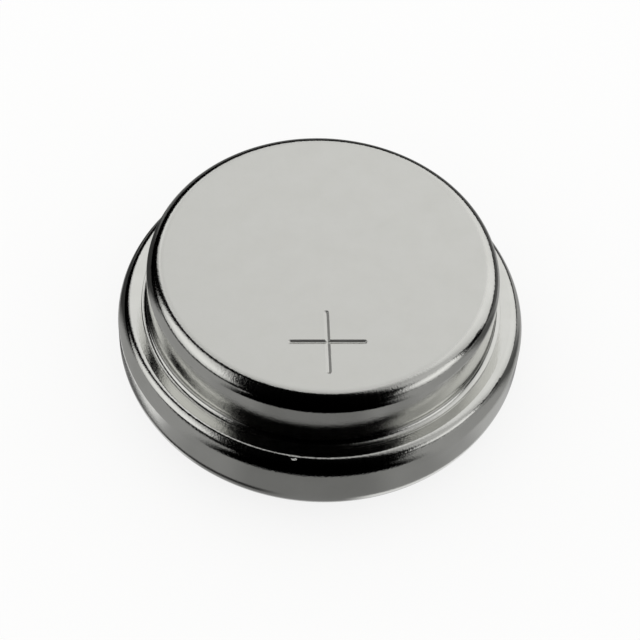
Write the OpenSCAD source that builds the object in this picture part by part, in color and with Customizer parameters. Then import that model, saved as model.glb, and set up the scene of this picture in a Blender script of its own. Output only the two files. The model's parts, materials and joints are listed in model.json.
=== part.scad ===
// Alkaline button cell of the wide, stepped form, standing on its negative contact.
// Every piece is turned about Z, so each one is drawn as a half section and revolved.
// The origin is the centre of the negative contact's face, and the positive face is up.

/* [Cell] */
// Diameter of the wide body
cell_d = 15.6; // [12:0.1:24]
// Height of the ledge above the surface that the cell stands on
body_h = 3.65; // [3:0.05:8]
// Height of the positive end above the ledge
boss_h = 2.35; // [1.9:0.05:8]

/* [Can] */
// Thickness of the can's sheet
can_t = 0.3; // [0.15:0.01:0.38]
// Width of the ledge, from the body's wall in to the boss's wall
ledge_w = 1.15; // [0.9:0.05:3]
// Outside radius of the edge round the positive face
top_edge_r = 0.65; // [0.4:0.05:1.2]
// Radius of the cove at the foot of the boss
cove_r = 0.2; // [0.05:0.01:0.22]
// Outside radius of the shoulder between ledge and body
shoulder_r = 0.6; // [0.4:0.05:0.8]
// Outside radius of the curl that closes the can
crimp_r = 1.8; // [1.4:0.05:2.2]
// Width of the flat lip inside the curl
lip_w = 0.15; // [0.05:0.05:0.6]
// Height of the land that the press leaves standing round the cove
land_h = 0.05; // [0.01:0.01:0.1]
// Width of that land beyond the cove
land_w = 0.03; // [0.01:0.01:0.2]

/* [Negative cap] */
// Thickness of the cap's sheet
cap_t = 0.25; // [0.12:0.01:0.35]
// How far the contact stands proud of the can's curl
contact_proud = 0.2; // [0.1:0.05:0.4]
// Width of the ring between the can's lip and the contact
seal_w = 0.75; // [0.3:0.05:2]
// Outside radius of the contact's edge
contact_edge_r = 0.4; // [0.3:0.05:0.5]
// Radius of the cove between the contact's neck and the cap's shoulder
neck_cove_r = 0.2; // [0.05:0.05:0.3]
// Outside radius of the cap's shoulder
cap_shoulder_r = 0.8; // [0.4:0.05:1]
// Gap between the two layers of the folded rim
fold_gap = 0.1; // [0.04:0.01:0.2]
// Height of the rim's cut edge above the bend of the shoulder
hem_rise = 0.1; // [0.02:0.02:0.2]

/* [Gasket] */
// Thickness of the gasket between the can and the cap
gasket_t = 0.4; // [0.25:0.01:0.55]
// Thickness of the gasket's foot, above the folded rim
foot_t = 0.35; // [0.2:0.01:0.5]
// Thickness of the gasket's inner leg
leg_t = 0.5; // [0.3:0.01:0.8]
// Length of the inner leg below the fold's centre
leg_l = 0.6; // [0.2:0.05:0.9]
// How far the gasket's end stays back from the outside of the lip
collar_back = 0.08; // [0.02:0.01:0.2]
// Radius of the two edges of that end
collar_r = 0.12; // [0.04:0.01:0.14]

/* [Electrodes and separator] */
// Thickness of the cathode sleeve's sheet
sleeve_t = 0.2; // [0.1:0.01:0.3]
// Height of the cathode sleeve
sleeve_h = 1.2; // [0.6:0.05:1.4]
// Width of the sleeve's flange
flange_w = 0.95; // [0.5:0.05:2]
// Outside radius of the sleeve's bend
sleeve_bend_r = 0.3; // [0.25:0.05:0.5]
// Thickness of the barrier film
film_t = 0.12; // [0.05:0.01:0.3]
// Thickness of the absorbent pad
pad_t = 0.4; // [0.2:0.05:0.6]

/* [Fits] */
// Clearance between any two pieces that meet
fit = 0.02; // [0.005:0.005:0.04]

/* [Hidden] */
$fn = 144;

// The can
cell_h = body_h + boss_h;
body_r = cell_d / 2;
boss_r = body_r - ledge_w;
land_r = boss_r + cove_r + land_w;
lip_r = body_r - crimp_r - lip_w;
lip_z = contact_proud;
ledge_under_z = body_h - can_t;

// The cap, which hangs its folded rim a gasket's thickness inside the can's wall and lip
contact_r = lip_r - seal_w;
cap_shoulder_z = lip_z + can_t + gasket_t + 2 * fit;
hem_r = body_r - can_t - gasket_t - 2 * fit;
skirt_r = hem_r - cap_t - fold_gap;
hem_z = cap_shoulder_z + cap_shoulder_r + hem_rise;
fold_r = skirt_r + fold_gap / 2;
fold_outer_r = cap_t + fold_gap / 2;

// The gasket, whose foot fills the room between the fold and the ledge
foot_top_z = ledge_under_z - fit;
fold_z = foot_top_z - foot_t - fit - fold_outer_r;
channel_r = skirt_r - cap_t - fit;
leg_r = channel_r - leg_t;
leg_z = fold_z - leg_l;

// The separator's discs and the cathode, stacked on the foot
pad_z = foot_top_z - pad_t;
film_z = foot_top_z + fit;
sleeve_z = film_z + film_t + fit;
sleeve_top_z = sleeve_z + sleeve_h;
sleeve_r = boss_r - can_t - fit;
flange_r = sleeve_r - flange_w;

// A rectangle between two opposite corners
module block(low, high) {
    translate(low) square(high - low);
}

// The spandrel between a square corner and the arc that rounds it. The arc's centre lies from the
// corner along dir. A radius that an inset has used up leaves the corner square.
module spandrel(corner, r, dir) {
    centre = corner + r * dir;
    if (r > 0) difference() {
        block([min(corner.x, centre.x), min(corner.y, centre.y)],
              [max(corner.x, centre.x), max(corner.y, centre.y)]);
        translate(centre) circle(r);
    }
}

// Half section of the space inside the can's faces, each face moved in by inset: 0 is the outside
module can_section(inset) {
    boss = boss_r - inset;
    body = body_r - inset;
    top = cell_h - inset;
    ledge = body_h - inset;
    base = lip_z + inset;
    difference() {
        union() {
            block([0, base], [body, ledge]);
            block([0, base], [land_r, ledge + land_h]);
            block([0, base], [boss, top]);
            spandrel([boss, ledge + land_h], cove_r + inset, [1, 1]);
        }
        spandrel([boss, top], top_edge_r - inset, [-1, -1]);
        spandrel([body, ledge], shoulder_r - inset, [-1, -1]);
        spandrel([body, base], crimp_r - inset, [-1, 1]);
    }
}

// Half section of the space inside the cap's faces, up to the level of the fold's centre
module cap_section(inset) {
    contact = contact_r - inset;
    skirt = skirt_r - inset;
    shoulder = cap_shoulder_z + inset;
    difference() {
        union() {
            block([0, inset], [contact, fold_z]);
            block([0, shoulder], [skirt, fold_z]);
            spandrel([contact, shoulder], neck_cove_r + inset, [1, -1]);
        }
        spandrel([contact, inset], contact_edge_r - inset, [-1, 1]);
        spandrel([skirt, shoulder], cap_shoulder_r - inset, [-1, 1]);
    }
}

// Half section of the space inside the sleeve's faces, up to a given height
module sleeve_section(inset, top) {
    wall = sleeve_r - inset;
    base = sleeve_z + inset;
    difference() {
        block([0, base], [wall, top]);
        spandrel([wall, base], sleeve_bend_r - inset, [-1, 1]);
    }
}

// Drawn steel cup with a stepped end, its rim curled in over the gasket
module positive_can() {
    color([0.78, 0.78, 0.77]) rotate_extrude() difference() {
        can_section(0);
        can_section(can_t);
        block([0, 0], [lip_r, lip_z + 2 * can_t]);
    }
}

// Moulded ring of U section: an outer leg that the can's curl bends in under the cap, a foot above
// the cap's folded rim, and an inner leg down inside it
module sealing_gasket() {
    wall_inset = can_t + fit;
    color([0.86, 0.87, 0.82]) rotate_extrude() {
        // outer leg, down to the collar that shows round the contact
        difference() {
            union() {
                intersection() {
                    can_section(wall_inset);
                    block([contact_r, 0], [body_r, fold_z]);
                }
                collar_section();
            }
            cap_section(-fit);
            block([skirt_r, hem_z - fit], [hem_r + fit, fold_z]);
        }
        // foot
        difference() {
            intersection() {
                can_section(wall_inset);
                block([leg_r, fold_z], [body_r, foot_top_z]);
            }
            translate([fold_r, fold_z]) circle(fold_outer_r + fit);
        }
        // inner leg
        intersection() {
            cap_section(cap_t + fit);
            block([leg_r, leg_z], [channel_r, fold_z]);
        }
    }
}

// The gasket's end, between the can's lip and the cap's neck
module collar_section() {
    inner = contact_r + fit;
    outer = lip_r - fit;
    base = lip_z + collar_back;
    difference() {
        block([inner, base], [outer, lip_z + can_t + gasket_t]);
        spandrel([inner, base], collar_r, [1, 1]);
        spandrel([outer, base], collar_r, [-1, 1]);
    }
}

// Drawn cup of clad sheet: a raised contact, a shoulder, and a rim folded back up outside the skirt
module negative_cap() {
    color([0.82, 0.81, 0.78]) rotate_extrude() {
        difference() {
            cap_section(0);
            cap_section(cap_t);
        }
        translate([fold_r, fold_z]) difference() {
            intersection() {
                circle(fold_outer_r);
                block([-fold_outer_r, 0], [fold_outer_r, fold_outer_r]);
            }
            circle(fold_gap / 2);
        }
        block([skirt_r + fold_gap, hem_z], [hem_r, fold_z]);
    }
}

// Zinc gel, which fills the cap up to the absorbent pad, round the gasket's inner leg
module anode_gel() {
    step_z = leg_z - fit;
    color([0.42, 0.43, 0.45]) rotate_extrude() {
        intersection() {
            cap_section(cap_t + fit);
            block([0, 0], [body_r, step_z]);
        }
        block([0, step_z], [leg_r - fit, pad_z - fit]);
    }
}

// Disc of absorbent paper inside the gasket's inner leg
module absorbent_pad() {
    color([0.93, 0.91, 0.85]) translate([0, 0, pad_z]) cylinder(h = pad_t, r = leg_r - fit);
}

// Disc of separator film, clamped by its edge between the gasket's foot and the sleeve's flange
module barrier_film() {
    color([0.85, 0.76, 0.52]) translate([0, 0, film_z]) cylinder(h = film_t, r = sleeve_r);
}

// Steel ring of L section, pressed over the edge of the pellet
module cathode_sleeve() {
    color([0.62, 0.63, 0.65]) rotate_extrude() difference() {
        sleeve_section(0, sleeve_top_z);
        sleeve_section(sleeve_t, sleeve_top_z);
        block([0, 0], [flange_r, sleeve_top_z]);
    }
}

// Pressed tablet, formed in place, so it fills the boss, the sleeve and the flange's hole
module cathode_pellet() {
    shelf_z = sleeve_top_z + fit;
    color([0.13, 0.13, 0.14]) rotate_extrude() {
        intersection() {
            can_section(can_t + fit);
            block([0, shelf_z], [sleeve_r, cell_h]);
        }
        sleeve_section(sleeve_t + fit, shelf_z);
        block([0, sleeve_z], [flange_r - fit, shelf_z]);
    }
}

positive_can();
sealing_gasket();
negative_cap();
anode_gel();
absorbent_pad();
barrier_film();
cathode_sleeve();
cathode_pellet();
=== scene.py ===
import json
import math

import bmesh
import bpy
from mathutils import Matrix, Vector


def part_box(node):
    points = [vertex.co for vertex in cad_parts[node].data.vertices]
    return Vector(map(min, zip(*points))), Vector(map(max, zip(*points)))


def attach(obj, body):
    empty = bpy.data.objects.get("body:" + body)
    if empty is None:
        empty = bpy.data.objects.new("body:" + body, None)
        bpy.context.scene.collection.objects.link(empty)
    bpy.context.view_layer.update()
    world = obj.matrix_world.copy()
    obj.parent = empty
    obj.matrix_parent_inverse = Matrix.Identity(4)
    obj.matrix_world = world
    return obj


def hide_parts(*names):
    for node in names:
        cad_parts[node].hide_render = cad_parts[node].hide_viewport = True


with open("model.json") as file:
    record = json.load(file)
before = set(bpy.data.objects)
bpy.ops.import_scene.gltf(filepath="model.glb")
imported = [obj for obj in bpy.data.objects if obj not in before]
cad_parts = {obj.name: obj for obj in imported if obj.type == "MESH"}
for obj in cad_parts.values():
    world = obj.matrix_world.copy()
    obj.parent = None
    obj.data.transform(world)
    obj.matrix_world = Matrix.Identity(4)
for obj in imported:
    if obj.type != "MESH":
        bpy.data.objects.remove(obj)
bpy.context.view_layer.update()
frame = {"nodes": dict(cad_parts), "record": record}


# Positive can
# A cup drawn from steel strip: the narrower positive end, a ledge, and the wide body, whose rim is
# curled in at the bottom to grip the gasket. Bright nickel plate covers it, satin on the flat face.

# every size is in mm, and MM turns it into the frame's metres
MM = 0.001
# steps round a full turn, about how long a step of a rounding is, and the fewest that it has
TURN_STEPS = 240
ARC_STEP = 0.06
LEAST_ARC_STEPS = 3
# points closer together than this are one
MERGE_DISTANCE = 0.0005


def wall_of(mount_name):
    """Radius and lowest and highest level of a straight wall that the record names, in mm."""
    mount = next(m for m in frame["record"]["mounts"] if m["name"] == mount_name)
    middle = mount["pos_m"][2] / MM
    half = mount["dims"]["length_mm"] / 2
    return mount["dims"]["r_mm"], middle - half, middle + half


can_low, can_high = (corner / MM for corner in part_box("positive_can"))
body_r, body_wall_low, body_wall_high = wall_of("body_wall")
boss_r, boss_wall_low, boss_wall_high = wall_of("boss_wall")
face_z = can_high.z
lip_z = can_low.z
can_sheet = 0.3

# the edge round the face, and a narrow ring that keeps the face flat right up to it
face_edge_r = face_z - boss_wall_high
face_hold = 0.04

# the boss's foot: a cove, a low land that the press leaves round it, and the ledge, which falls a
# little towards it
cove_r = 0.2
land_rise = 0.05
land_width = 0.03
land_edge_r = 0.02
ledge_dish = 0.07
land_r = boss_r + cove_r + land_width
ledge_z = boss_wall_low - cove_r - land_rise

# the shoulder, which turns down in two arcs with a short slope between them
shoulder_r = ledge_z - body_wall_high
shoulder_slope = math.radians(48)
upper_round = 0.2
lower_round = 0.397
slope_start = body_r - shoulder_r + upper_round
slope_drop = (body_r - slope_start) * math.tan(shoulder_slope)

# the curl, and the flat lip inside it
curl_r = body_wall_low - lip_z
lip_width = 0.15
lip_edge_r = 0.08
lip_r = body_r - curl_r - lip_width


def turn(corners, closed=False):
    """Turns a half section about Z. A corner is its radius, its height and its rounding."""
    bm = bmesh.new()
    points = [bm.verts.new((radius, 0, height)) for radius, height, _ in corners]
    line = points + points[:1] if closed else points
    for start, end in zip(line, line[1:]):
        bm.edges.new((start, end))
    for point, (_, _, rounding) in zip(points, corners):
        if rounding:
            steps = max(LEAST_ARC_STEPS, round(rounding * math.pi / 2 / ARC_STEP))
            bmesh.ops.bevel(bm, geom=[point], offset=rounding, offset_type="OFFSET", segments=steps,
                            profile=0.5, affect="VERTICES", material=-1)
    bmesh.ops.spin(bm, geom=bm.verts[:] + bm.edges[:], cent=(0, 0, 0), axis=(0, 0, 1),
                   angle=math.tau, steps=TURN_STEPS, use_merge=True)
    bmesh.ops.remove_doubles(bm, verts=bm.verts, dist=MERGE_DISTANCE)
    bmesh.ops.recalc_face_normals(bm, faces=bm.faces)
    return bm


def make_object(bm, name, material):
    """Makes an object, at the origin and in metres, from a mesh in mm."""
    bm.transform(Matrix.Scale(MM, 4))
    mesh = bpy.data.meshes.new(name)
    bm.to_mesh(mesh)
    bm.free()
    mesh.materials.append(material)
    made = bpy.data.objects.new(name, mesh)
    bpy.context.scene.collection.objects.link(made)
    return made


def finish_piece(bm, name, material, node):
    """Makes the piece and puts it in the frame in its CAD node's place. Each face weighs in the
    shading by its area, so that flat walls stay flat right up to their rounded edges."""
    bm.normal_update()
    shading = [sum((face.normal * face.calc_area() for face in vert.link_faces), Vector()).normalized()
               for vert in bm.verts]
    piece = make_object(bm, name, material)
    piece.data.polygons.foreach_set("use_smooth", [True] * len(piece.data.polygons))
    piece.data.normals_split_custom_set_from_vertices(shading)
    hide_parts(node)
    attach(piece, "root")


can = turn([
    (boss_r - face_edge_r - face_hold, face_z, 0),
    (boss_r, face_z, face_edge_r),
    (boss_r, ledge_z + land_rise, cove_r),
    (land_r, ledge_z + land_rise, land_edge_r),
    (land_r, ledge_z - ledge_dish, land_edge_r),
    (slope_start, ledge_z, upper_round),
    (body_r, ledge_z - slope_drop, lower_round),
    (body_r, lip_z, curl_r),
    (lip_r, lip_z, lip_edge_r),
    (lip_r, lip_z + can_sheet, lip_edge_r),
    (body_r - can_sheet, lip_z + can_sheet, curl_r - can_sheet),
    (body_r - can_sheet, ledge_z - can_sheet, shoulder_r - can_sheet),
    (boss_r - can_sheet, ledge_z - can_sheet, cove_r + can_sheet),
    (boss_r - can_sheet, face_z - can_sheet, face_edge_r - can_sheet),
    (0, face_z - can_sheet, 0),
])
face_rim = [edge for edge in can.edges if edge.is_boundary]
bmesh.ops.holes_fill(can, edges=face_rim, sides=TURN_STEPS)

# The plus sign, two grooves of V section pressed into the face
sign_centre = Vector((0.33, -3.84, face_z))
sign_turn = math.radians(5.2)
sign_arm = 1.44
groove_half = 0.1
groove_depth = 0.045
# where the face is scored beside a groove's middle line, as shares of its half width
groove_shares = (0, 0.1, 0.4, 0.7, 0.9, 1, 1.1)
bar_end = sign_arm - groove_half
sign_reach = sign_arm + 2 * groove_half
# how near a point lies to the face, and to a cut, to count as on it
level_slack = 0.001
cut_slack = 0.0001
sign_axes = [Matrix.Rotation(sign_turn, 3, "Z") @ Vector(axis) for axis in ((1, 0, 0), (0, 1, 0))]


def sign_place(point):
    """A point's place along the two bars, from the sign's centre."""
    return [(point - sign_centre).dot(axis) for axis in sign_axes]


def on_face_near_sign(point, reach):
    """Whether a point lies on the face and within reach of the sign's centre."""
    return abs(point.z - face_z) < level_slack and max(map(abs, sign_place(point))) < reach


def score_face(lines, reach):
    """Scores the face along lines at these distances from the centre, across both bars."""
    for axis in sign_axes:
        for line in lines:
            faces = [face for face in can.faces if on_face_near_sign(face.calc_center_median(), reach)]
            edges = {edge for face in faces for edge in face.edges}
            verts = {vert for face in faces for vert in face.verts}
            bmesh.ops.bisect_plane(can, geom=[*verts, *edges, *faces], dist=cut_slack,
                                   plane_co=sign_centre + axis * line, plane_no=axis)


# four cuts across the whole face part off a square round the sign, and only that is scored finer
score_face((-sign_reach, sign_reach), 2 * body_r)
groove_steps = [groove_half * share for share in groove_shares]
end_steps = [bar_end + step for step in groove_steps]
score_face(sorted({side * step for side in (-1, 1) for step in groove_steps + end_steps}), sign_reach)
for vert in can.verts:
    if on_face_near_sign(vert.co, sign_reach):
        along, across = map(abs, sign_place(vert.co))
        off_bar = min(math.hypot(max(0, along - bar_end), across),
                      math.hypot(max(0, across - bar_end), along))
        vert.co.z -= groove_depth * max(0, 1 - off_bar / groove_half)

# A small nick from handling on the front of the shoulder, a dent with a flat floor
nick_bearing = math.radians(-94.65)
nick_rise = math.radians(82)
nick_size = 0.07
nick_depth = 0.02
nick_past_ledge = 0.02
nick_below_ledge = 0.06
# the mesh is made finer this far round it
fine_mesh_r = 4 * nick_size
fine_mesh_cuts = 5
nick_side = Vector((math.cos(nick_bearing), math.sin(nick_bearing), 0))
nick_out = nick_side * math.cos(nick_rise) + Vector((0, 0, math.sin(nick_rise)))
nick_aim = nick_side * (slope_start + nick_past_ledge) + Vector((0, 0, ledge_z - nick_below_ledge))
nick_spot = min((vert.co.copy() for vert in can.verts), key=lambda spot: (spot - nick_aim).length)
near_nick = [edge for edge in can.edges
             if all((vert.co - nick_spot).length < fine_mesh_r for vert in edge.verts)]
bmesh.ops.subdivide_edges(can, edges=near_nick, cuts=fine_mesh_cuts, use_grid_fill=True)
for vert in can.verts:
    height = (vert.co - nick_spot).dot(nick_out)
    aside = (vert.co - nick_spot - nick_out * height).length
    if aside < nick_size and height > -nick_depth:
        vert.co -= nick_out * (height + nick_depth)


def colour(code):
    """Linear RGBA of an sRGB hex colour."""
    shares = [int(code[start:start + 2], 16) / 255 for start in (1, 3, 5)]
    linear = [share / 12.92 if share <= 0.04045 else ((share + 0.055) / 1.055) ** 2.4
              for share in shares]
    return (*linear, 1)


def add(tree, kind, inputs=None, **settings):
    """Adds a node. Each of its inputs gets a constant, or a link from an output, which is a node's
    first one where the node itself is given."""
    node = tree.nodes.new("ShaderNode" + kind)
    for name, value in settings.items():
        setattr(node, name, value)
    for name, value in (inputs or {}).items():
        if isinstance(value, bpy.types.Node):
            value = value.outputs[0]
        if isinstance(value, bpy.types.NodeSocket):
            tree.links.new(value, node.inputs[name])
        else:
            node.inputs[name].default_value = value
    return node


def new_material(name):
    """An empty material, its node tree, and the object's own coordinates in it."""
    material = bpy.data.materials.new(name)
    material.use_nodes = True
    tree = material.node_tree
    tree.nodes.clear()
    return material, tree, add(tree, "TexCoord").outputs["Object"]


def detail(size):
    """The scale at which a pattern's features come out at this size in mm."""
    return 1 / (size * MM)


def close_material(tree, height, look):
    """Ends a material with a shader of this look, which gets its bump from a height in mm."""
    bump = add(tree, "Bump", {"Height": height, "Distance": MM, "Strength": 1})
    shader = add(tree, "BsdfPrincipled", {**look, "Normal": bump})
    add(tree, "OutputMaterial", {"Surface": shader})


def nickel_plate():
    """Bright nickel plate on drawn steel. Its walls are burnished by the die and reflect like a
    mirror with faint lines up them, and its flat face has the strip's soft satin."""
    line_gap = 0.12
    line_length = 3
    line_height = 0.0006
    peel_size = 0.07
    peel_height = 0.0035
    grain_size = 0.05
    grain_height = 0.0006
    cloud_size = 1.2
    satin_high = face_z - 0.004
    satin_low = face_z - 0.02
    satin_outer_r = boss_r - face_edge_r
    satin_inner_r = satin_outer_r - 0.1
    material, tree, place = new_material("bright_nickel_plate")
    axes = add(tree, "SeparateXYZ", {"Vector": place}).outputs
    # the satin ends where the face's edge turns down, but goes on down in the sign's grooves
    flat_place = add(tree, "VectorMath", {0: place, 1: (1, 1, 0)}, operation="MULTIPLY")
    off_axis = add(tree, "VectorMath", {0: flat_place}, operation="LENGTH").outputs["Value"]
    groove_room = add(tree, "MapRange", {"Value": off_axis, "From Min": satin_outer_r * MM,
                                         "From Max": satin_inner_r * MM, "To Min": 0,
                                         "To Max": groove_depth * MM})
    satin_height = add(tree, "Math", {0: axes["Z"], 1: groove_room}, operation="ADD")
    on_face = add(tree, "MapRange", {"Value": satin_height, "From Min": satin_low * MM,
                                     "From Max": satin_high * MM})
    # lines of the draw, which stand side by side round the walls
    bearing = add(tree, "Math", {0: axes["Y"], 1: axes["X"]}, operation="ARCTAN2")
    round_wall = add(tree, "Math", {0: bearing, 1: body_r * MM}, operation="MULTIPLY")
    line_place = add(tree, "CombineXYZ", {"X": round_wall, "Z": axes["Z"]})
    stretched = add(tree, "Mapping", {"Vector": line_place,
                                      "Scale": (detail(line_gap), 1, detail(line_length))})
    lines = add(tree, "TexNoise", {"Vector": stretched, "Scale": 1, "Detail": 2})
    # orange peel of the plating on the walls, and the strip's grain and cloudy patches on the face.
    # The lines and the grain are drawn coarser than real ones, so that they show.
    peel = add(tree, "TexNoise", {"Vector": place, "Scale": detail(peel_size), "Detail": 2})
    grain = add(tree, "TexNoise", {"Vector": place, "Scale": detail(grain_size), "Detail": 3})
    cloud = add(tree, "TexNoise", {"Vector": place, "Scale": detail(cloud_size), "Detail": 4})
    tint = add(tree, "MixRGB", {"Fac": cloud, "Color1": colour("#cbcbc6"), "Color2": colour("#dbdbd7")})
    wall_rough = add(tree, "MapRange", {"Value": lines, "To Min": 0.05, "To Max": 0.15})
    face_rough = add(tree, "MapRange", {"Value": cloud, "To Min": 0.3, "To Max": 0.4})
    rough = add(tree, "MapRange", {"Value": on_face, "To Min": wall_rough, "To Max": face_rough})
    peel_high = add(tree, "Math", {0: peel, 1: peel_height}, operation="MULTIPLY")
    wall_high = add(tree, "Math", {0: lines, 1: line_height, 2: peel_high}, operation="MULTIPLY_ADD")
    face_high = add(tree, "Math", {0: grain, 1: grain_height}, operation="MULTIPLY")
    high = add(tree, "MapRange", {"Value": on_face, "To Min": wall_high, "To Max": face_high})
    close_material(tree, high, {"Base Color": tint, "Metallic": 1, "Roughness": rough})
    return material


finish_piece(can, "nickel_plated_can", nickel_plate(), "positive_can")


# Cathode pellet
# A tablet of manganese dioxide and graphite powder, black and brittle. It is pressed in place, so
# it fills the can's narrower end.


def coat(node, material):
    """Gives its material to a CAD node that stays as it is."""
    for material_slot in frame["nodes"][node].material_slots:
        material_slot.material = material


def pressed_powder():
    """Pressed manganese dioxide with graphite: sooty black and matte, with a dull glint where the
    die burnished the graphite flakes."""
    powder_size = 0.06
    powder_height = 0.01
    flake_gap = 0.2
    flake_full = 0.12
    flake_end = 0.2
    material, tree, place = new_material("pressed_manganese_dioxide")
    grains = add(tree, "TexNoise", {"Vector": place, "Scale": detail(powder_size), "Detail": 3})
    # a flake lies in the middle of each cell, full out to one share of the gap and gone at the other
    cells = add(tree, "TexVoronoi", {"Vector": place, "Scale": detail(flake_gap)}).outputs["Distance"]
    flake = add(tree, "MapRange", {"Value": cells, "From Min": flake_full, "From Max": flake_end,
                                   "To Min": 1, "To Max": 0})
    soot = add(tree, "MixRGB", {"Fac": grains, "Color1": colour("#171718"), "Color2": colour("#29292b")})
    tint = add(tree, "MixRGB", {"Fac": flake, "Color1": soot, "Color2": colour("#3c3c3f")})
    rough = add(tree, "MapRange", {"Value": flake, "To Min": 0.85, "To Max": 0.45})
    high = add(tree, "Math", {0: grains, 1: powder_height}, operation="MULTIPLY")
    close_material(tree, high, {"Base Color": tint, "Roughness": rough, "IOR": 1.6})
    return material


coat("cathode_pellet", pressed_powder())


# Cathode sleeve
# A ring of L section, drawn from plain steel strip. It is pressed over the pellet's edge to hold it
# together, and its flange backs the film where the gasket clamps it.


def drawn_steel():
    """Plain drawn steel: grey and half bright, with fine lines round it from the die."""
    line_gap = 0.04
    line_length = 6
    line_height = 0.001
    cloud_size = 0.8
    material, tree, place = new_material("plain_drawn_steel")
    squeezed = add(tree, "Mapping", {"Vector": place, "Scale": (
        detail(line_length), detail(line_length), detail(line_gap))})
    lines = add(tree, "TexNoise", {"Vector": squeezed, "Scale": 1, "Detail": 2})
    cloud = add(tree, "TexNoise", {"Vector": place, "Scale": detail(cloud_size), "Detail": 3})
    tint = add(tree, "MixRGB", {"Fac": cloud, "Color1": colour("#a09f9c"), "Color2": colour("#b4b3b0")})
    rough = add(tree, "MapRange", {"Value": lines, "To Min": 0.28, "To Max": 0.45})
    high = add(tree, "Math", {0: lines, 1: line_height}, operation="MULTIPLY")
    close_material(tree, high, {"Base Color": tint, "Metallic": 1, "Roughness": rough})
    return material


coat("cathode_sleeve", drawn_steel())


# Barrier film
# A disc cut from cellophane film, which keeps the two electrodes apart. It is laid on the pellet
# and clamped by its edge under the gasket.


def cellophane():
    """Cellophane wetted by the electrolyte: smooth, amber and glossy, with slight cockling."""
    cockle_size = 1.5
    cockle_height = 0.03
    line_gap = 0.1
    line_length = 4
    line_height = 0.0006
    material, tree, place = new_material("amber_cellophane")
    cockle = add(tree, "TexNoise", {"Vector": place, "Scale": detail(cockle_size), "Detail": 2})
    # fine lines from the casting rolls
    rolled = add(tree, "Mapping", {"Vector": place, "Scale": (
        detail(line_gap), detail(line_length), detail(line_length))})
    lines = add(tree, "TexNoise", {"Vector": rolled, "Scale": 1, "Detail": 1})
    tint = add(tree, "MixRGB", {"Fac": cockle, "Color1": colour("#c9a566"), "Color2": colour("#d9ba80")})
    rough = add(tree, "MapRange", {"Value": lines, "To Min": 0.12, "To Max": 0.22})
    cockle_high = add(tree, "Math", {0: cockle, 1: cockle_height}, operation="MULTIPLY")
    high = add(tree, "Math", {0: lines, 1: line_height, 2: cockle_high}, operation="MULTIPLY_ADD")
    close_material(tree, high, {"Base Color": tint, "Roughness": rough, "IOR": 1.47})
    return material


coat("barrier_film", cellophane())


# Absorbent pad
# A disc punched from cellulose felt, which soaks up electrolyte. It lies on the gel, inside the
# gasket's inner leg.


def cellulose_felt():
    """Wet-laid cellulose felt: cream, soft and matte, with short fibres lying every way."""
    fibre_width = 0.03
    fibre_length = 0.6
    layer_gap = 0.1
    fibre_height = 0.03
    material, tree, place = new_material("cellulose_felt")
    # three crossed layers of fibres, the highest of which shows
    fibres = 0
    for turned in (20, 75, 130):
        laid = add(tree, "Mapping", {"Vector": place, "Rotation": (0, 0, math.radians(turned)), "Scale": (
            detail(fibre_length), detail(fibre_width), detail(layer_gap))})
        layer = add(tree, "TexNoise", {"Vector": laid, "Scale": 1, "Detail": 2, "Distortion": 0.6})
        fibres = add(tree, "Math", {0: layer, 1: fibres}, operation="MAXIMUM")
    tint = add(tree, "MixRGB", {"Fac": fibres, "Color1": colour("#cfc7b2"), "Color2": colour("#efeadb")})
    high = add(tree, "Math", {0: fibres, 1: fibre_height}, operation="MULTIPLY")
    close_material(tree, high, {"Base Color": tint, "Roughness": 0.95, "Sheen Weight": 0.3,
                                "Sheen Roughness": 0.5})
    return material


coat("absorbent_pad", cellulose_felt())


# Gasket
# A nylon ring of U section, moulded in one piece. Its channel grips the cap's folded rim, and the
# can's curl bends its outer leg in under the cap, where its end shows round the contact.

gasket_low, gasket_high = (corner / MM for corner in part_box("sealing_gasket"))
cap_low, cap_high = (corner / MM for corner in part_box("negative_cap"))
fit = 0.02
seal_width = 0.75
inner_leg = 0.5
inner_leg_z = 2.06
leg_edge_r = 0.08
collar_edge_r = 0.12
thin_edge_r = 0.04

# the cap's outside, which the gasket follows
cap_sheet = 0.25
cap_shoulder_z = 0.94
cap_shoulder_r = 0.8
cap_neck_r = 0.2
contact_r = lip_r - seal_width
contact_edge_r = 0.4
fold_gap = 0.1
fold_outer_r = cap_sheet + fold_gap / 2
hem_r = cap_high.x
hem_rise = 0.1
hem_z = cap_shoulder_z + cap_shoulder_r + hem_rise
skirt_r = hem_r - cap_sheet - fold_gap

# the gasket's own faces, a fit away from the can and from the cap
wall_gap = can_sheet + fit
channel_round = fold_outer_r + fit
channel_r = skirt_r - cap_sheet - fit

gasket = turn([
    (contact_r + fit, gasket_low.z, collar_edge_r),
    (lip_r - fit, gasket_low.z, collar_edge_r),
    (lip_r - fit, lip_z + wall_gap, thin_edge_r),
    (body_r - wall_gap, lip_z + wall_gap, curl_r - wall_gap),
    (body_r - wall_gap, gasket_high.z, shoulder_r - wall_gap),
    (channel_r - inner_leg, gasket_high.z, leg_edge_r),
    (channel_r - inner_leg, inner_leg_z, leg_edge_r),
    (channel_r, inner_leg_z, leg_edge_r),
    (channel_r, cap_high.z + fit, channel_round),
    (hem_r + fit, cap_high.z + fit, channel_round),
    (hem_r + fit, hem_z - fit, thin_edge_r),
    (skirt_r + fit, hem_z - fit, thin_edge_r),
    (skirt_r + fit, cap_shoulder_z - fit, cap_shoulder_r + fit),
    (contact_r + fit, cap_shoulder_z - fit, cap_neck_r - fit),
], closed=True)


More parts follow.
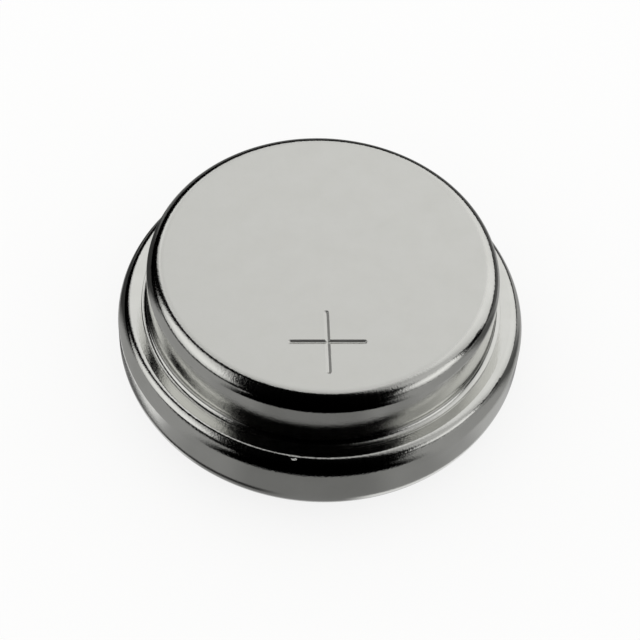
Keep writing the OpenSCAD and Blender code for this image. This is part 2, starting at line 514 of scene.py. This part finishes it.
def moulded_nylon():
    """Natural nylon, moulded: milky and slightly see-through, with a soft gloss, faint flow lines
    and the fine texture of a spark-eroded mould."""
    flow_size = 1.5
    mould_size = 0.04
    mould_height = 0.002
    glow_depth = 0.3
    material, tree, place = new_material("natural_nylon")
    flow = add(tree, "TexNoise", {"Vector": place, "Scale": detail(flow_size), "Detail": 2,
                                  "Distortion": 1})
    mould = add(tree, "TexNoise", {"Vector": place, "Scale": detail(mould_size), "Detail": 2})
    tint = add(tree, "MixRGB", {"Fac": flow, "Color1": colour("#cfd0c4"), "Color2": colour("#dcddd2")})
    rough = add(tree, "MapRange", {"Value": mould, "To Min": 0.36, "To Max": 0.5})
    high = add(tree, "Math", {0: mould, 1: mould_height}, operation="MULTIPLY")
    close_material(tree, high, {"Base Color": tint, "Roughness": rough, "IOR": 1.53,
                                "Subsurface Weight": 0.25, "Subsurface Scale": glow_depth * MM,
                                "Subsurface Radius": (1, 0.9, 0.7)})
    return material


finish_piece(gasket, "moulded_gasket", moulded_nylon(), "sealing_gasket")


# Anode gel
# Zinc powder in a gelled potash electrolyte. It is dosed into the cap before the cell is closed,
# and fills it up to the pad.


def zinc_gel():
    """Zinc powder in potash gel: dark wet grey, with the grains glinting in it."""
    zinc_size = 0.15
    zinc_height = 0.05
    material, tree, place = new_material("gelled_zinc_powder")
    # each cell is a grain, highest at its middle, and the lighter grains are bare metal
    cells = add(tree, "TexVoronoi", {"Vector": place, "Scale": detail(zinc_size)}).outputs
    shade = add(tree, "SeparateColor", {"Color": cells["Color"]})
    tint = add(tree, "MixRGB", {"Fac": shade, "Color1": colour("#4c4e52"), "Color2": colour("#8b8d90")})
    metallic = add(tree, "MapRange", {"Value": shade, "From Min": 0.4, "From Max": 0.8})
    rough = add(tree, "MapRange", {"Value": cells["Distance"], "To Min": 0.25, "To Max": 0.5})
    high = add(tree, "Math", {0: cells["Distance"], 1: -zinc_height}, operation="MULTIPLY")
    close_material(tree, high, {"Base Color": tint, "Metallic": metallic, "Roughness": rough,
                                "Coat Weight": 0.6, "Coat Roughness": 0.12})
    return material


coat("anode_gel", zinc_gel())


# Negative cap
# A cup drawn from clad sheet, with a raised contact, a shoulder, and a rim folded back up outside
# its skirt. Only the contact and its neck show, inside the ring of the gasket.

fold_inner_z = cap_high.z - cap_sheet
hem_edge_r = 0.04

cap = turn([
    (0, cap_low.z, 0),
    (contact_r, cap_low.z, contact_edge_r),
    (contact_r, cap_shoulder_z, cap_neck_r),
    (skirt_r, cap_shoulder_z, cap_shoulder_r),
    (skirt_r, fold_inner_z, fold_gap / 2),
    (skirt_r + fold_gap, fold_inner_z, fold_gap / 2),
    (skirt_r + fold_gap, hem_z, hem_edge_r),
    (hem_r, hem_z, hem_edge_r),
    (hem_r, cap_high.z, fold_outer_r),
    (skirt_r - cap_sheet, cap_high.z, fold_outer_r),
    (skirt_r - cap_sheet, cap_shoulder_z + cap_sheet, cap_shoulder_r - cap_sheet),
    (contact_r - cap_sheet, cap_shoulder_z + cap_sheet, cap_neck_r + cap_sheet),
    (contact_r - cap_sheet, cap_low.z + cap_sheet, contact_edge_r - cap_sheet),
    (0, cap_low.z + cap_sheet, 0),
])


def clad_sheet():
    """Nickel clad on steel and rolled: a soft bright metal, with fine hairlines all one way."""
    hair_gap = 0.04
    hair_length = 3
    hair_height = 0.0008
    hair_turn = math.radians(31)
    cloud_size = 1
    material, tree, place = new_material("nickel_clad_sheet")
    turned = add(tree, "Mapping", {"Vector": place, "Rotation": (0, 0, hair_turn), "Scale": (
        detail(hair_length), detail(hair_gap), detail(hair_length))})
    hairs = add(tree, "TexNoise", {"Vector": turned, "Scale": 1, "Detail": 3})
    cloud = add(tree, "TexNoise", {"Vector": place, "Scale": detail(cloud_size), "Detail": 3})
    tint = add(tree, "MixRGB", {"Fac": cloud, "Color1": colour("#cfccc4"), "Color2": colour("#d8d5cf")})
    rough = add(tree, "MapRange", {"Value": hairs, "To Min": 0.12, "To Max": 0.32})
    high = add(tree, "Math", {0: hairs, 1: hair_height}, operation="MULTIPLY")
    close_material(tree, high, {"Base Color": tint, "Metallic": 1, "Roughness": rough})
    return material


finish_piece(cap, "folded_contact_cap", clad_sheet(), "negative_cap")


# Floor
# A sheet of white paper that the cell stands on. The eye sees it white, with the cell's soft shadow
# on it. The metal sees a painted glow on it instead, dimmer, with painted light and shade for the
# uneven light and the dark studio beyond.

floor_size = 500
# the glow that lifts the paper to white for the eye, and the painted glow that the metal sees
# elsewhere than on the patches
paper_lift = 0.8
paper_in_metal = 0.36

# Painted light and shade on the paper as the metal sees it, patch by patch. A patch has its first
# and last bearing in degrees, from the front with the right side positive, then its nearest and
# farthest distance from the axis, and its painted brightness. A later patch covers an earlier one.
painted_floor_light_and_shade = [
    # painted shade at the front, dimmest in the middle, and dark beyond the cell's own width
    (-46, 46, 0, 600, 0.28),
    (-24, 24, 0, 600, 0.21),
    (-41, 41, 15, 600, 0),
    # the left: painted shade behind, and a painted highlight in a narrow strip beside the body
    (-136, -100, 10.5, 600, 0.045),
    (-190, -136, 18, 600, 0.12),
    (-90, -56, 8.75, 9.5, 0.9),
    # the right: painted light near the body, and painted shade farther out
    (60, 160, 0, 10.5, 0.5),
    (87, 106, 12, 600, 0.1),
    (106, 190, 20, 600, 0.1),
    # the body's painted shadow on the paper just outside its foot
    (-112, -84, 7.9, 9, 0.12),
    (84, 112, 7.9, 9, 0.3),
    (-95, -52, 8.3, 8.62, 0.06),
    (-54, -12, 7.95, 8.5, 0.03),
    # painted light that reaches in under the curl
    (-95, -40, 0, 7.95, 0.75),
    (16, 75, 0, 8, 0.85),
    (-200, 200, 0, 7.4, 0.55),
]
# how softly a patch ends: in degrees, and as a share of the distance from the body, or at least
# over the nearest softness
bearing_softness = 6
distance_softness = 0.1
nearest_softness = 0.15


def between(tree, value, start, end, start_soft, end_soft):
    """1 where a value lies between two bounds, falling softly to 0 at each."""
    rise = add(tree, "MapRange", {"Value": value, "From Min": start - start_soft,
                                  "From Max": start + start_soft}, interpolation_type="SMOOTHSTEP")
    fall = add(tree, "MapRange", {"Value": value, "From Min": end + end_soft,
                                  "From Max": end - end_soft}, interpolation_type="SMOOTHSTEP")
    return add(tree, "Math", {0: rise, 1: fall}, operation="MULTIPLY")


def white_paper():
    """Matte white paper. It is lit like any matte thing, and a glow that only the eye sees lifts it
    to white. In the metal it shows only a painted glow, as bright as its patches of painted light and
    shade."""
    material, tree, place = new_material("white_paper")
    axes = add(tree, "SeparateXYZ", {"Vector": place}).outputs
    ahead = add(tree, "Math", {0: axes["Y"], 1: -1}, operation="MULTIPLY")
    turned = add(tree, "Math", {0: axes["X"], 1: ahead}, operation="ARCTAN2")
    bearing = add(tree, "Math", {0: turned}, operation="DEGREES")
    metres_off = add(tree, "VectorMath", {0: place}, operation="LENGTH").outputs["Value"]
    distance = add(tree, "Math", {0: metres_off, 1: MM}, operation="DIVIDE")
    level = paper_in_metal
    for first, last, near, far, brightness in painted_floor_light_and_shade:
        near_soft = max(nearest_softness, (near - body_r) * distance_softness)
        far_soft = max(nearest_softness, (far - body_r) * distance_softness)
        across = between(tree, bearing, first, last, bearing_softness, bearing_softness)
        along = between(tree, distance, near, far, near_soft, far_soft)
        inside = add(tree, "Math", {0: across, 1: along}, operation="MULTIPLY")
        level = add(tree, "MapRange", {"Value": inside, "To Min": level, "To Max": brightness})
    # the metal sees this painted glow of light and shade, not the lit paper
    painted_glow_in_metal = add(tree, "Emission", {"Color": colour("#ffffff"), "Strength": level})
    paper = add(tree, "BsdfDiffuse", {"Color": colour("#7e7e7d"), "Roughness": 0.5})
    rays = add(tree, "LightPath").outputs
    seen = add(tree, "Math", {0: rays["Is Camera Ray"], 1: rays["Is Transmission Ray"]}, operation="ADD")
    lift = add(tree, "Math", {0: seen, 1: paper_lift}, operation="MULTIPLY")
    white = add(tree, "Emission", {"Color": colour("#ffffff"), "Strength": lift})
    lit = add(tree, "AddShader", {0: paper, 1: white})
    shown = add(tree, "MixShader", {"Fac": rays["Is Glossy Ray"], 1: lit, 2: painted_glow_in_metal})
    add(tree, "OutputMaterial", {"Surface": shown})
    return material


sheet = bmesh.new()
bmesh.ops.create_circle(sheet, cap_ends=True, radius=floor_size, segments=64)
make_object(sheet, "paper_floor", white_paper())


# Studio light
# An even white dome lights what is matte. The metal mirrors soft boxes that stand round the sides
# and back of a dark studio, with narrow gaps between them and a wide dark gap at the front.

box_distance = 300

world = bpy.data.worlds.new("studio")
bpy.context.scene.world = world
world.use_nodes = True
world.node_tree.nodes.clear()
mirrored = add(world.node_tree, "LightPath").outputs["Is Glossy Ray"]
dome = add(world.node_tree, "MapRange", {"Value": mirrored, "To Min": 1, "To Max": 0})
light = add(world.node_tree, "Background", {"Color": colour("#ffffff"), "Strength": dome})
add(world.node_tree, "OutputWorld", {"Surface": light})


def soft_box(name, glows, posts):
    """A sheet of light stretched between posts, which only the metal sees. Each post has its bearing,
    and its lower and upper end's elevations, all in degrees as the cell sees them, and its share of
    the glows, which run up every post at even steps."""
    material, tree, _ = new_material(name + "_light")
    strength = add(tree, "Attribute", attribute_name="glow").outputs["Fac"]
    glow = add(tree, "Emission", {"Color": colour("#ffffff"), "Strength": strength})
    add(tree, "OutputMaterial", {"Surface": glow})
    bm = bmesh.new()
    layer = bm.verts.layers.float.new("glow")
    steps = len(glows) - 1
    # each row of the grid becomes a post, and its faces turn to the cell
    grid = bmesh.ops.create_grid(bm, x_segments=steps, y_segments=len(posts) - 1, size=1)
    bmesh.ops.reverse_faces(bm, faces=bm.faces)
    verts = iter(grid["verts"])
    for bearing, low, high, share in posts:
        turned = Matrix.Rotation(math.radians(bearing), 3, "Z")
        for step, brightness in enumerate(glows):
            rise = math.radians(low + (high - low) * step / steps)
            vert = next(verts)
            vert.co = turned @ Vector((0, -math.cos(rise), math.sin(rise))) * box_distance
            vert[layer] = brightness * share
    box = make_object(bm, name, material)
    box.visible_camera = False
    box.visible_diffuse = False
    box.visible_transmission = False
    box.visible_shadow = False


soft_box("left_box", (0.55, 0.95, 1.1, 1.05, 0.8, 0.3), [
    (-42, 20, 25, 0.1), (-48, 16, 36, 0.5), (-54, 15, 48, 0.85), (-62, 15, 58, 1),
    (-72, 15, 64, 1), (-87, 16, 70, 1), (-98, 17, 67, 1), (-106, 20, 62, 0.85), (-113, 24, 56, 0.3)])
soft_box("left_low_box", (0.38, 0.36, 0.3), [
    (-36, 0, 7, 0.7), (-58, 0, 8, 1), (-80, 0, 9, 1), (-96, 0, 10, 1), (-104, 0, 10, 0.3)])
soft_box("back_box", (0.88, 0.97, 0.97, 0.92, 0.3), [
    (-132, 32, 56, 0.4), (-146, 29, 76, 1), (-165, 26, 81, 1), (-180, 21, 83, 1), (-195, 14, 84, 1)])
soft_box("right_back_box", (0.9, 1, 1, 0.9, 0.3), [
    (-195, 14, 84, 0.95), (-215, 9, 82, 1), (-235, 7, 80, 1), (-256, 8, 79, 0.8)])
soft_box("right_high_box", (0.6, 0.6, 0.55, 0.3), [
    (104, 22, 79, 1.2), (94, 24, 78, 1), (87, 42, 77, 1), (76, 44, 74, 1), (68, 45, 68, 0.9),
    (58, 46, 60, 0.4)])
soft_box("right_box", (0.5, 0.9, 1.2, 1, 0.6), [
    (87, 7, 42, 1), (76, 8, 44, 1), (66, 10, 45, 1), (57, 13, 44, 0.8), (50, 16, 38, 0.4),
    (44, 18, 28, 0.1)])
soft_box("right_low_box", (0.36, 0.38, 0.45), [
    (96, 0, 6, 0.6), (76, 0, 7, 1), (60, 0, 10, 1), (50, 0, 14, 0.9), (42, 0, 14, 0.1)])


# Camera
# It looks down on the cell from the front, a little turned about its own axis. It stands close, so
# the near side of the cell spreads a little.

look_down = math.radians(51.42)
camera_roll = math.radians(4.1)
camera_distance = 70
camera_target = Vector((0, 0, 3))
camera_from = Vector((0, -math.cos(look_down), math.sin(look_down)))

camera_data = bpy.data.cameras.new("camera")
camera_data.lens = 101.85
camera_data.sensor_width = 36
camera_data.shift_x = -0.0013
camera_data.shift_y = -0.016
camera_data.clip_start = 0.001
camera_data.clip_end = 10
camera = bpy.data.objects.new("camera", camera_data)
camera.rotation_mode = "ZYX"
camera.rotation_euler = (math.pi / 2 - look_down, 0, camera_roll)
camera.location = (camera_target + camera_distance * camera_from) * MM
bpy.context.scene.collection.objects.link(camera)
bpy.context.scene.camera = camera
bpy.context.scene.view_settings.view_transform = "Standard"
